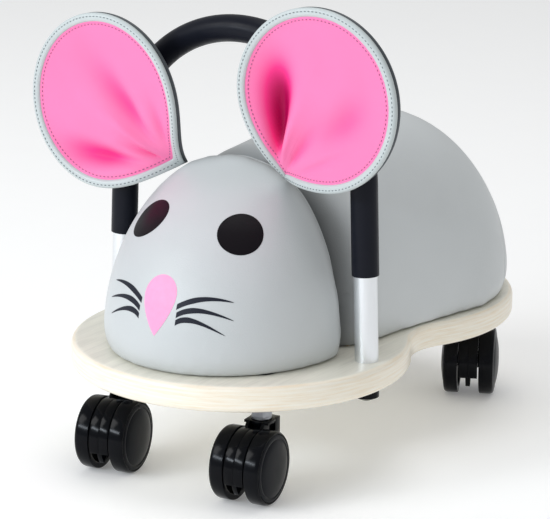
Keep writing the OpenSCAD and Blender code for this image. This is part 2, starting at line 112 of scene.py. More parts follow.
class CoverSettings(bpy.types.PropertyGroup):
    """Sizes and colours of the padded head and body"""

    voxel: length("Voxel", "Size of the mesh that the covers are shaped with", 0.004)
    head_grow: length("Head growth", "How far the head cover stands out from its foam", 0.0015)
    body_grow: length("Body growth", "How far the body cover stands out from its foam", 0.0015)
    travel: length("Travel", "The furthest that a point of a cover may move when it is inflated", 0.002)
    pressure: factor("Pressure", "Pressure that fills a cover out while it settles", 4.0)
    seam_depth: length("Seam depth", "Depth of a sewn seam", 0.0012)
    tuck_length: length("Tuck length", "How far back the body's drawn-in front edge reaches", 0.030)
    tuck: factor("Tuck", "Share by which the body's front edge is drawn in", 0.15)
    piping: length("Piping", "Radius of the sewn piping at the neck", 0.0011)
    piping_out: length("Piping out", "How far the head's piping stands out from the cover's edge", 0.0022)
    seam_back: length("Seam", "Distance of the body's rear seam from the handle", 0.187)
    seam_lean: angle("Seam lean", "Lean of the body's rear seam", 8)
    seam_half: length("Seam half width", "Half of the width of the sewn seam's hollow", 0.0022)
    head_grey: colour("Head grey", "Colour of the head's leatherette", (0.57, 0.595, 0.60))
    body_grey: colour("Body grey", "Colour of the body's leatherette", (0.61, 0.635, 0.64))
    stitch: colour("Stitch", "Colour of the body's stitching", (0.10, 0.13, 0.17))


class FaceSettings(bpy.types.PropertyGroup):
    """Places, sizes and inks of the printed face"""

    eye_x: length("Eye middle", "Distance of an eye from the middle plane", 0.0364)
    eye_z: length("Eye height", "Height of an eye's middle", 0.1752)
    eye_half_width: length("Eye half width", "Half of an eye's width", 0.0153)
    eye_half_height: length("Eye half height", "Half of an eye's height", 0.0158)
    nose_tip: length("Nose tip", "Height of the nose's point", 0.1106)
    nose_top: length("Nose top", "Height of the nose's round top", 0.1492)
    nose_half_width: length("Nose half width", "Half of the nose's width", 0.0123)
    whisker_half: length("Whisker half width", "Half of a whisker's width at its thickest", 0.0018)
    eye_ink: colour("Eye ink", "Colour of the eyes", (0.0045, 0.0030, 0.0050))
    whisker_ink: colour("Whisker ink", "Colour of the whiskers", (0.018, 0.020, 0.030))
    nose_ink: colour("Nose ink", "Colour of the nose", (1.0, 0.38, 0.62))


class EarSettings(bpy.types.PropertyGroup):
    """Sizes and colours of the ears"""

    left_half_width: length("Left half width", "Half of the left ear's width", 0.0615)
    right_half_width: length("Right half width", "Half of the right ear's width", 0.058)
    half_height: length("Half height", "Half of an ear's height", 0.0615)
    left_x: length("Left middle", "Distance of the left ear's middle from the middle plane", 0.084)
    right_x: length("Right middle", "Distance of the right ear's middle from the middle plane", 0.087)
    left_z: length("Left height", "Height of the left ear's middle", 0.267)
    right_z: length("Right height", "Height of the right ear's middle", 0.245)
    forward: length("Forward", "How far the ears stand forward of the handle", 0.040)
    rim: length("Rim", "Width of the grey rim", 0.0058)
    stitch_pitch: length("Stitch pitch", "Distance between two stitches", 0.0029)
    pink: colour("Pink", "Colour of the panel", (1.0, 0.225, 0.47))
    # Slope and Fold are painted shade: darker pinks painted on the sides of the folds and deep in them.
    slope: colour("Slope", "Colour on the sides of the folds", (0.95, 0.045, 0.27))
    fold: colour("Fold", "Colour deep in the folds", (0.40, 0.0008, 0.075))
    trim: colour("Trim", "Colour of the rim", (0.55, 0.60, 0.60))
    backing: colour("Backing", "Colour of the back", (0.065, 0.075, 0.085))
    rim_thread: colour("Rim thread", "Colour of the stitches in the rim", (0.16, 0.19, 0.20))
    panel_thread: colour("Panel thread", "Colour of the stitches in the panel", (0.42, 0.09, 0.22))


class HardwareSettings(bpy.types.PropertyGroup):
    """Sizes and colours of the handle and the casters"""

    tread_round: length("Tread edge", "Radius of the edges of a wheel's tread", 0.0011)
    steel: colour("Steel", "Colour of the bright steel", (0.86, 0.88, 0.90))
    zinc: colour("Zinc", "Colour of the zinc plated fixings", (0.30, 0.31, 0.33))
    grip: colour("Grip", "Colour of the handle's grip", (0.0070, 0.0080, 0.0135))
    caster: colour("Caster", "Colour of the casters' plastic", (0.0018, 0.0022, 0.0034))
    inner_ply: colour("Inner ply", "Colour of the plates inside the covers", (0.62, 0.48, 0.30))


class StageSettings(bpy.types.PropertyGroup):
    """Camera and light"""

    azimuth: angle("Azimuth", "Turn of the camera", 33.08)
    elevation: angle("Elevation", "Rise of the camera", 15.68)
    roll: angle("Roll", "Tilt of the camera", 0.41)
    lens: factor("Lens", "Focal length in millimetres", 185.84)
    camera: FloatVectorProperty(
        name="Camera", description="Place of the camera", default=(1.03808, -1.62692, 0.66305), unit="LENGTH"
    )
    floor_size: length("Floor", "Side of the floor", 12.0)
    sky: factor("Sky", "Strength of the even light all round", 0.50)


class RideOnSettings(bpy.types.PropertyGroup):
    """All settings of the ride-on mouse"""

    board: PointerProperty(type=BoardSettings)
    covers: PointerProperty(type=CoverSettings)
    face: PointerProperty(type=FaceSettings)
    ears: PointerProperty(type=EarSettings)
    hardware: PointerProperty(type=HardwareSettings)
    stage: PointerProperty(type=StageSettings)


# ---------------------------------------------------------------- finishes


class Finish:
    """A Principled material, and the pattern nodes that are wired into it."""

    def __init__(self, name, base, roughness, **sockets):
        self.material = bpy.data.materials.new(name)
        self.material.use_nodes = True
        self.tree = self.material.node_tree
        self.shader = self.tree.nodes["Principled BSDF"]
        self.shader.inputs["Base Color"].default_value = (*base, 1.0)
        self.shader.inputs["Roughness"].default_value = roughness
        for socket, value in sockets.items():
            self.shader.inputs[socket.replace("_", " ")].default_value = value
        self.last_bump = None

    def node(self, kind, inputs=None, **attributes):
        made = self.tree.nodes.new(kind)
        for key, value in attributes.items():
            setattr(made, key, value)
        for key, value in (inputs or {}).items():
            if isinstance(value, bpy.types.NodeSocket):
                self.tree.links.new(value, made.inputs[key])
            else:
                made.inputs[key].default_value = value
        return made

    def place(self, stretch=(1, 1, 1)):
        """Object coordinates, stretched along the axes."""
        coords = self.node("ShaderNodeTexCoord").outputs["Object"]
        return self.node("ShaderNodeMapping", {"Vector": coords, "Scale": stretch}).outputs["Vector"]

    def noise(self, scale, detail=4.0, roughness=0.5, stretch=(1, 1, 1), warp=0.0):
        inputs = {
            "Vector": self.place(stretch), "Scale": scale, "Detail": detail,
            "Roughness": roughness, "Distortion": warp,
        }
        return self.node("ShaderNodeTexNoise", inputs).outputs["Fac"]

    def cells(self, scale, feature="F1", stretch=(1, 1, 1)):
        return self.node(
            "ShaderNodeTexVoronoi", {"Vector": self.place(stretch), "Scale": scale}, feature=feature
        ).outputs["Distance"]

    def remap(self, value, low, high, to_low=0.0, to_high=1.0):
        inputs = {"Value": value, "From Min": low, "From Max": high, "To Min": to_low, "To Max": to_high}
        return self.node("ShaderNodeMapRange", inputs).outputs["Result"]

    def math(self, operation, a, b=0.0):
        return self.node("ShaderNodeMath", {0: a, 1: b}, operation=operation).outputs[0]

    def mix(self, factor, a, b):
        """One colour or socket over another."""
        made = self.node("ShaderNodeMix", data_type="RGBA")
        for index, value in ((0, factor), (6, a), (7, b)):
            if isinstance(value, bpy.types.NodeSocket):
                self.tree.links.new(value, made.inputs[index])
            elif index == 0:
                made.inputs[index].default_value = value
            else:
                made.inputs[index].default_value = (*value, 1.0)
        return made.outputs[2]

    def paint(self, socket):
        self.tree.links.new(socket, self.shader.inputs["Base Color"])
        return self

    def polish(self, value, low, high):
        self.tree.links.new(self.remap(value, 0.3, 0.7, low, high), self.shader.inputs["Roughness"])
        return self

    def bump(self, height, strength, distance):
        inputs = {"Height": height, "Strength": strength, "Distance": distance}
        if self.last_bump is not None:
            inputs["Normal"] = self.last_bump
        self.last_bump = self.node("ShaderNodeBump", inputs).outputs["Normal"]
        self.tree.links.new(self.last_bump, self.shader.inputs["Normal"])
        return self


def shade(base, factor):
    return tuple(min(1.0, c * factor) for c in base)


def leatherette(name, base, roughness=0.42, grain=1100.0, depth=1.0):
    """Coated fabric: a fine pebble grain over faint stretch marks, and painted shade where the neck's shadow
    falls on a cover.
    """
    made = Finish(name, base, roughness, Specular_IOR_Level=0.45, Coat_Weight=0.12, Coat_Roughness=0.35)
    broad = made.noise(9.0, 3.0)
    toned = made.mix(made.remap(broad, 0.3, 0.7), shade(base, 0.95), shade(base, 1.04))
    # Painted shade: a cover's per-point mark darkens the colour towards near black at the neck.
    neck_shade = made.node("ShaderNodeAttribute", attribute_name="neck_shade").outputs["Fac"]
    made.paint(made.mix(neck_shade, toned, shade(base, 0.06)))
    made.polish(made.noise(60.0, 4.0), roughness - 0.05, roughness + 0.06)
    made.bump(made.noise(38.0, 2.0), 0.25, 0.0005 * depth)
    made.bump(made.cells(grain, "SMOOTH_F1"), 0.35, 0.00018 * depth)
    made.bump(made.noise(grain * 2.2, 3.0), 0.25, 0.00006 * depth)
    return made.material


def birch_board(settings):
    """Lacquered birch ply: long grain on the faces, and the veneers in turn round the edge."""
    made = Finish("birch_plywood", settings.veneer, 0.38, Coat_Weight=0.25, Coat_Roughness=0.22)
    flow = made.noise(26.0, 5.0, 0.6, (7, 0.55, 7), 0.8)
    fine = made.noise(210.0, 4.0, 0.6, (6, 0.25, 6))
    face = made.mix(made.remap(flow, 0.35, 0.68), shade(settings.veneer, 1.05), shade(settings.veneer, 0.90))
    face = made.mix(made.remap(fine, 0.5, 0.75, 0.0, 0.35), face, shade(settings.veneer, 0.80))
    split = made.node("ShaderNodeSeparateXYZ", {"Vector": made.place()})
    wobble = made.math("MULTIPLY", made.noise(14.0, 3.0), 0.0011)
    height = made.math("ADD", split.outputs["Z"], wobble)
    wave = made.math("SINE", made.math("MULTIPLY", height, math.pi / settings.ply))
    streak = made.noise(90.0, 4.0, 0.65, (0.5, 0.5, 9))
    plies = made.remap(wave, -1.0, 1.0, 0.0, 0.22)
    layer = made.math("ADD", plies, made.remap(streak, 0.45, 0.80, 0.0, 0.70))
    edge = made.mix(layer, settings.edge, settings.edge_dark)
    glue = made.remap(made.math("ABSOLUTE", wave), 0.0, 0.12, 0.26, 0.0)
    edge = made.mix(glue, edge, shade(settings.edge_dark, 0.62))
    normal = made.node("ShaderNodeNewGeometry").outputs["Normal"]
    facing = made.node("ShaderNodeSeparateXYZ", {"Vector": normal})
    flat = made.remap(made.math("ABSOLUTE", facing.outputs["Z"]), 0.90, 0.985)
    made.paint(made.mix(flat, edge, face))
    made.polish(made.noise(120.0, 3.0), 0.30, 0.44)
    made.bump(fine, 0.12, 0.0002)
    return made.material


def raw_ply(name, base):
    made = Finish(name, base, 0.7)
    grain = made.noise(40.0, 5.0, 0.6, (6, 0.5, 3), 0.6)
    return made.paint(made.mix(grain, shade(base, 0.8), shade(base, 1.1))).bump(grain, 0.2, 0.0004).material


def bright_steel(name, base):
    """Plated tube: a near mirror with faint draw lines along its length."""
    made = Finish(name, base, 0.42, Metallic=1.0)
    lines = made.noise(700.0, 3.0, 0.6, (1, 1, 0.03))
    return made.polish(lines, 0.38, 0.48).bump(lines, 0.05, 0.00003).material


def zinc_plate(name, base):
    made = Finish(name, base, 0.34, Metallic=1.0)
    spangle = made.cells(260.0)
    made.paint(made.mix(spangle, shade(base, 0.86), shade(base, 1.08)))
    return made.polish(made.noise(150.0), 0.26, 0.44).bump(spangle, 0.06, 0.0001).material


def grip_foam(name, base):
    """Dense moulded foam with a skin: satin, with very fine pores."""
    made = Finish(name, base, 0.34, Specular_IOR_Level=0.13)
    made.paint(made.mix(made.noise(30.0, 3.0), shade(base, 0.85), shade(base, 1.25)))
    made.polish(made.noise(90.0, 4.0), 0.28, 0.42)
    made.bump(made.noise(1500.0, 3.0), 0.20, 0.00008)
    return made.material


def gloss_plastic(name, base, low=0.10, high=0.20):
    """Moulded black plastic with a slight flow ripple and fine scuffs."""
    made = Finish(name, base, low, Specular_IOR_Level=0.11)
    made.polish(made.noise(55.0, 5.0, 0.7), low, high)
    made.bump(made.noise(45.0, 2.0), 0.06, 0.0005)
    made.bump(made.noise(900.0, 3.0, 0.6, (1, 1, 4)), 0.05, 0.00004)
    return made.material


def print_ink(name, base, roughness=0.4):
    """Screen-printed ink: flat, slightly mottled, and following the grain below it."""
    made = Finish(name, base, roughness, Specular_IOR_Level=0.14)
    made.paint(made.mix(made.noise(240.0, 3.0), shade(base, 0.93), shade(base, 1.07)))
    made.bump(made.cells(1100.0, "SMOOTH_F1"), 0.25, 0.00012)
    return made.material


def pink_panel(name, base, fold_side_shade, deep):
    """Satin leatherette, pulled tight, with a fine grain and a soft sheen, and painted shade darkening it in
    its folds.
    """
    made = Finish(name, base, 0.40, Specular_IOR_Level=0.14)
    flat = made.mix(made.noise(16.0, 3.0), shade(base, 0.93), shade(base, 1.06))
    # Painted shade: the fold mark turns the pink to a shaded pink, and then to a near black crimson deep in
    # the folds.
    fold_shade = made.node("ShaderNodeAttribute", attribute_name="fold").outputs["Fac"]
    half_shaded = made.mix(made.remap(fold_shade, 0.0, 0.45), flat, fold_side_shade)
    made.paint(made.mix(made.remap(fold_shade, 0.45, 1.0), half_shaded, deep))
    made.polish(made.noise(80.0, 4.0), 0.36, 0.48)
    made.bump(made.noise(45.0, 3.0), 0.25, 0.0005)
    made.bump(made.cells(1300.0, "SMOOTH_F1"), 0.30, 0.00012)
    return made.material


def thread(name, base):
    made = Finish(name, base, 0.6, Sheen_Weight=0.3)
    made.bump(made.noise(2600.0, 2.0, 0.5, (1, 1, 5)), 0.4, 0.0001)
    return made.material


# ---------------------------------------------------------------- mesh helpers


def piece_from(bm, name, material, body="root", sharp=40.0):
    """Makes the finished object of a bmesh, which rides on a body."""
    bmesh.ops.recalc_face_normals(bm, faces=bm.faces[:])
    mesh = bpy.data.meshes.new(name)
    bm.to_mesh(mesh)
    bm.free()
    return piece_of_mesh(mesh, name, material, body, sharp)


def piece_of_mesh(mesh, name, material, body="root", sharp=40.0):
    """Makes the finished object of a mesh; edges sharper than an angle in degrees stay sharp."""
    for polygon in mesh.polygons:
        polygon.use_smooth = True
    mesh.set_sharp_from_angle(angle=math.radians(sharp))
    mesh.materials.clear()
    mesh.materials.append(material)
    made = bpy.data.objects.new(name, mesh)
    bpy.context.scene.collection.objects.link(made)
    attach(made, body)
    return made


def settled_mesh(obj):
    """The object's mesh with its modifiers applied."""
    graph = bpy.context.evaluated_depsgraph_get()
    return bpy.data.meshes.new_from_object(obj.evaluated_get(graph))


def dress(node, material):
    """Gives a CAD node its finish."""
    mesh = frame["nodes"][node].data
    mesh.materials.clear()
    mesh.materials.append(material)


def lathe(bm, profile, matrix, steps, angle=2 * math.pi, closed=True):
    """Spins a profile of (radius, height) points about Z, and then places it."""
    verts = [bm.verts.new((radius, 0.0, height)) for radius, height in profile]
    ends = list(zip(verts, verts[1:])) + ([(verts[-1], verts[0])] if closed else [])
    edges = [bm.edges.new(pair) for pair in ends]
    before = set(bm.verts) - set(verts)
    whole = angle > 2 * math.pi - 0.001
    bmesh.ops.spin(
        bm, geom=verts + edges, cent=(0, 0, 0), axis=(0, 0, 1), angle=angle, steps=steps, use_merge=whole
    )
    made = [v for v in bm.verts if v not in before]
    bmesh.ops.remove_doubles(bm, verts=made, dist=1e-7)
    made = [v for v in bm.verts if v not in before]
    if not whole and closed:
        bmesh.ops.holes_fill(bm, edges=[e for e in bm.edges if e.is_boundary], sides=len(profile))
    bmesh.ops.transform(bm, matrix=matrix, verts=made)
    return made


def in_metres(profile):
    return [(radius * MM, height * MM) for radius, height in profile]


def round_edges(bm, verts, width, segments, over):
    """Bevels the edges among some vertices that are sharper than an angle in degrees."""
    chosen = set(verts)
    edges = [
        e for e in bm.edges
        if len(e.link_faces) == 2 and e.verts[0] in chosen and e.verts[1] in chosen
        and e.calc_face_angle(0.0) > math.radians(over)
    ]
    bmesh.ops.bevel(
        bm, geom=edges, offset=width, offset_type="OFFSET", segments=segments, profile=0.5,
        affect="EDGES", material=-1, clamp_overlap=True,
    )


def stitch_row(path, pitch, size, thick, closed=False):
    """A row of small raised stitches along a path of points."""
    points = [Vector(p) for p in path] + ([Vector(path[0])] if closed else [])
    bm = bmesh.new()
    travelled = 0.0
    due = pitch / 2
    for start, end in zip(points, points[1:]):
        run = end - start
        while due <= travelled + run.length and run.length > 0:
            at = start + run * ((due - travelled) / run.length)
            turn = run.to_track_quat("Z", "Y").to_matrix().to_4x4()
            place = Matrix.Translation(at) @ turn @ Matrix.Diagonal((thick, thick, size, 1.0))
            bmesh.ops.create_uvsphere(bm, u_segments=6, v_segments=4, radius=0.5, matrix=place)
            due += pitch
        travelled += run.length
    return bm


def on_surface(tree, origin, direction):
    """Where a straight line first meets a surface, and the normal there."""
    hit, normal, _, _ = tree.ray_cast(Vector(origin), Vector(direction).normalized())
    if hit is None:
        raise ValueError(f"nothing of the surface lies along {tuple(direction)} from {tuple(origin)}")
    return hit, normal


# ---------------------------------------------------------------- padded covers

# A cover's foot: the height above the board where it ends, the heights below which it keeps its
# place while it is smoothed and inflated, and the height above which its seams and piping show.
FOOT_GAP = 0.0002
FOOT_KEPT = 0.003
FOOT_HELD = 0.006
FOOT_SEWN = 0.004
FILL_FRAMES = 20


def foam_copy(node, name, voxel):
    """A merged, evenly meshed copy of a CAD foam block."""
    bm = bmesh.new()
    bm.from_mesh(frame["nodes"][node].data)
    bmesh.ops.remove_doubles(bm, verts=bm.verts[:], dist=1e-6)
    mesh = bpy.data.meshes.new(name)
    bm.to_mesh(mesh)
    bm.free()
    blank = bpy.data.objects.new(name, mesh)
    bpy.context.scene.collection.objects.link(blank)
    remesh = blank.modifiers.new("Even mesh", "REMESH")
    remesh.mode = "VOXEL"
    remesh.voxel_size = voxel
    blank.data = settled_mesh(blank)
    blank.modifiers.clear()
    return blank


def smooth_mesh(mesh, rounds, keep):
    """Evens a mesh out, but for the points that are kept."""
    bm = bmesh.new()
    bm.from_mesh(mesh)
    moving = [v for v in bm.verts if not keep(v.co)]
    for _ in range(rounds):
        bmesh.ops.smooth_vert(bm, verts=moving, factor=0.5, use_axis_x=True, use_axis_y=True, use_axis_z=True)
    bm.to_mesh(mesh)
    bm.free()


def inflate(blank, pressure, frames, travel, held):
    """Fills a cover out with air while its held points stay, and caps how far a point may move."""
    rest = [v.co.copy() for v in blank.data.vertices]
    group = blank.vertex_groups.new(name="held")
    group.add([v.index for v in blank.data.vertices if held(v.co)], 1.0, "REPLACE")
    cloth = blank.modifiers.new("Fill", "CLOTH")
    cloth.settings.vertex_group_mass = "held"
    cloth.settings.use_pressure = True
    cloth.settings.uniform_pressure_force = pressure
    cloth.settings.effector_weights.gravity = 0.0
    cloth.settings.tension_stiffness = 25.0
    cloth.settings.compression_stiffness = 25.0
    cloth.settings.bending_stiffness = 2.0
    cloth.settings.quality = 5
    scene = bpy.context.scene
    for step in range(1, frames + 1):
        scene.frame_set(step)
    swollen = settled_mesh(blank)
    scene.frame_set(1)
    blank.modifiers.clear()
    blank.data = swollen
    for vertex, start in zip(blank.data.vertices, rest):
        move = vertex.co - start
        if move.length > travel:
            vertex.co = start + move * (travel / move.length)


def grow(mesh, distance, low):
    """Moves a surface outwards, but not below its lowest height."""
    bm = bmesh.new()
    bm.from_mesh(mesh)
    bm.normal_update()
    moves = [(v, v.normal * distance) for v in bm.verts]
    for vertex, move in moves:
        vertex.co += move
        vertex.co.z = max(vertex.co.z, low)
    bm.to_mesh(mesh)
    bm.free()


def finer(blank):
    """One level of subdivision, applied."""
    surface = blank.modifiers.new("Finer", "SUBSURF")
    surface.levels = surface.render_levels = 1
    blank.data = settled_mesh(blank)
    blank.modifiers.clear()


def sew(mesh, point, normal, width, depth, where):
    """Cuts a seam along a plane: rows of new edges, drawn in towards the middle row."""
    point, normal = Vector(point), Vector(normal).normalized()
    bm = bmesh.new()
    bm.from_mesh(mesh)
    reach = 4 * width + 0.004
    for share in (-1.0, -0.5, -0.2, 0.0, 0.2, 0.5, 1.0):
        near = [f for f in bm.faces if abs((f.calc_center_median() - point).dot(normal)) < reach]
        geometry = near + list({e for f in near for e in f.edges}) + list({v for f in near for v in f.verts})
        bmesh.ops.bisect_plane(
            bm, geom=geometry, dist=1e-6, plane_co=point + normal * (share * width), plane_no=normal
        )
    bm.normal_update()
    line = []
    moves = []
    for vertex in bm.verts:
        away = abs((vertex.co - point).dot(normal))
        if away > width or not where(vertex.co):
            continue
        if away < 2e-6:
            line.append(vertex)
        moves.append((vertex, vertex.normal * (-depth * (1 - away / width) ** 1.5)))
    for vertex, move in moves:
        vertex.co += move
    places = [(v.co.copy(), v.normal.copy()) for v in line]
    bm.to_mesh(mesh)
    bm.free()
    return places


def piping(points, radius, name, material, node):
    """A round sewn cord along points, closed at both ends, in place of a CAD welt."""
    curve = bpy.data.curves.new(name, "CURVE")
    curve.dimensions = "3D"
    curve.bevel_depth = radius
    curve.bevel_resolution = 3
    curve.use_fill_caps = True
    spline = curve.splines.new("POLY")
    spline.points.add(len(points) - 1)
    for spot, place in zip(spline.points, points):
        spot.co = (*place, 1.0)
    blank = bpy.data.objects.new(name, curve)
    bpy.context.scene.collection.objects.link(blank)
    mesh = settled_mesh(blank)
    bpy.data.objects.remove(blank)
    made = piece_of_mesh(mesh, name, material)
    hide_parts(node)


def paint_neck_shade(mesh, edge, reach, strength):
    """Paints shade on a cover, from its edge at a place y to a reach away from it, where the neck's shadow
    falls.
    """
    marks = mesh.attributes.new("neck_shade", "FLOAT", "POINT")
    for vertex, mark in zip(mesh.vertices, marks.data):
        mark.value = strength * max(0.0, 1 - abs(vertex.co.y - edge) / reach) ** 1.6


def section_line(mesh, y, above, proud):
    """The outline where a surface crosses a plane across the mouse, standing proud of it."""
    bm = bmesh.new()
    bm.from_mesh(mesh)
    cut = bmesh.ops.bisect_plane(
        bm, geom=bm.verts[:] + bm.edges[:] + bm.faces[:], dist=1e-6, plane_co=(0, y, 0), plane_no=(0, 1, 0)
    )["geom_cut"]
    middle = Vector((0, y, above))
    spots = {}
    for item in cut:
        if isinstance(item, bmesh.types.BMVert) and item.co.z > above:
            angle = math.atan2(item.co.z - middle.z, -(item.co.x - middle.x))
            step = round(math.degrees(angle) / 2.5)
            best = spots.get(step)
            if best is None or (item.co - middle).length > (best - middle).length:
                spots[step] = item.co.copy()
    bm.free()
    points = [spots[step] for step in sorted(spots)]
    for _ in range(3):
        inner = [(a + 2 * b + c) / 4 for a, b, c in zip(points, points[1:], points[2:])]
        points = [points[0]] + inner + [points[-1]]
    return [spot + (spot - middle).normalized() * proud for spot in points]


def padded_cover(node, name, grow_by, covers, rounds):
    """A stuffed cover over a foam block: meshed evenly, filled out, and stood off the foam."""
    blank = foam_copy(node, name, covers.voxel)
    floor = min(v.co.z for v in blank.data.vertices)
    smooth_mesh(blank.data, rounds, lambda co: co.z < floor + FOOT_KEPT)
    inflate(blank, covers.pressure, FILL_FRAMES, covers.travel, lambda co: co.z < floor + FOOT_HELD)
    smooth_mesh(blank.data, 2, lambda co: co.z < floor + FOOT_KEPT)
    grow(blank.data, grow_by, BOARD_TOP + FOOT_GAP)
    finer(blank)
    mesh = blank.data
    bpy.data.objects.remove(blank)
    return mesh


# ---------------------------------------------------------------- board and hardware

# The casters' measures, in millimetres. Places along the axle are taken from the middle of the
# caster, and heights from the floor.
BORE = 3.05
WHEEL_RADIUS = 25.0
WHEEL_INNER = 7.8
WHEEL_OUTER = 18.0
WHEEL_PAN = 20.8
WHEEL_WEB = 14.5
LIP_RADIUS = 22.9
DISC_RADIUS = 22.6
DISC_SEAT = 17.05
HOOD_HALF = 6.9
HOOD_OUTER = 24.5
HOOD_INNER = 22.2
HOOD_PARTING = 0.35
WEB_HALF = 1.7
STEM_BORE = 4.05
BOSS_RADIUS = 6.8
COLLAR_RADIUS = 8.8
BOSS_FOOT = 32.0
BOSS_TOP = 52.4
# The blocks beside the boss: how far out they start and end, and where their back is.
CHEEK_INNER = 4.3
CHEEK_OUTER = 8.9
WEDGE_BACK = 9.6


class RIDEON_OT_board(bpy.types.Operator):
    """Build the figure-eight plywood board with its rounded edges"""

    bl_idname = "rideon.board"
    bl_label = "Board"

    def execute(self, context):
        board = context.scene.ride_on.board
        thick = BOARD_HIGH.z - BOARD_LOW.z
        front = Vector((0, POST_Y, BOARD_LOW.z))
        rear = front + Vector((0, board.lobe_gap, 0))
        a = board.front_radius + board.waist_radius
        b = board.rear_radius + board.waist_radius
        waist_y = (board.lobe_gap**2 + a * a - b * b) / (2 * board.lobe_gap)
        waist_x = math.sqrt(a * a - waist_y * waist_y)
        front_turn = math.atan2(waist_x, waist_y)
        rear_turn = math.atan2(waist_x, board.lobe_gap - waist_y)
        waist_turn = math.pi - front_turn - rear_turn
        bm = bmesh.new()
        start = front + Vector((waist_x, waist_y, 0)).normalized() * board.front_radius
        vertex = bm.verts.new(start)
        turns = (
            (front, -(2 * math.pi - 2 * front_turn), 96),
            (front + Vector((-waist_x, waist_y, 0)), waist_turn, 24),
            (rear, -(2 * math.pi - 2 * rear_turn), 96),
            (front + Vector((waist_x, waist_y, 0)), waist_turn, 24),
        )
        for centre, angle, steps in turns:
            last = bmesh.ops.spin(bm, geom=[vertex], cent=centre, axis=(0, 0, 1), angle=angle, steps=steps)
            vertex = last["geom_last"][0]
        if (vertex.co - start).length > 1e-4:
            raise ValueError("the board's outline doesn't close")
        bmesh.ops.remove_doubles(bm, verts=bm.verts[:], dist=1e-5)
        bottom = bmesh.ops.contextual_create(bm, geom=bm.edges[:])["faces"][0]
        top = bmesh.ops.extrude_face_region(bm, geom=[bottom], use_keep_orig=True)["geom"]
        raised = [item for item in top if isinstance(item, bmesh.types.BMVert)]
        bmesh.ops.translate(bm, verts=raised, vec=(0, 0, thick))
        bmesh.ops.recalc_face_normals(bm, faces=bm.faces[:])
        rims = [e for e in bm.edges if abs(e.verts[0].co.z - e.verts[1].co.z) < 1e-6]
        bmesh.ops.bevel(
            bm, geom=rims, offset=board.edge_radius, offset_type="OFFSET", segments=7, profile=0.5,
            affect="EDGES", material=-1,
        )
        faces = [f for f in bm.faces if abs(f.normal.z) > 0.999 and len(f.verts) > 50]
        bmesh.ops.inset_region(bm, faces=faces, thickness=0.0015)
        made = piece_from(bm, "plywood_board", birch_board(board), sharp=50)
        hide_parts("base_board")
        return {"FINISHED"}


class RIDEON_OT_handle(bpy.types.Operator):
    """Finish the handle and all fixings"""

    bl_idname = "rideon.handle"
    bl_label = "Handle and fixings"

    def execute(self, context):
        hardware = context.scene.ride_on.hardware
        dress("handle_tube", bright_steel("bright_tube", hardware.steel))
        dress("handle_grip", grip_foam("grip_foam", hardware.grip))
        dress("leg_caps", gloss_plastic("cap_plastic", hardware.caster))
        zinc = zinc_plate("zinc_plate", hardware.zinc)
        for node in ("leg_inserts", "leg_washers", "leg_bolts", "caster_tnuts", "plate_screws"):
            dress(node, zinc)
        inner = raw_ply("inner_plywood", hardware.inner_ply)
        dress("head_board", inner)
        dress("body_board", inner)
        return {"FINISHED"}


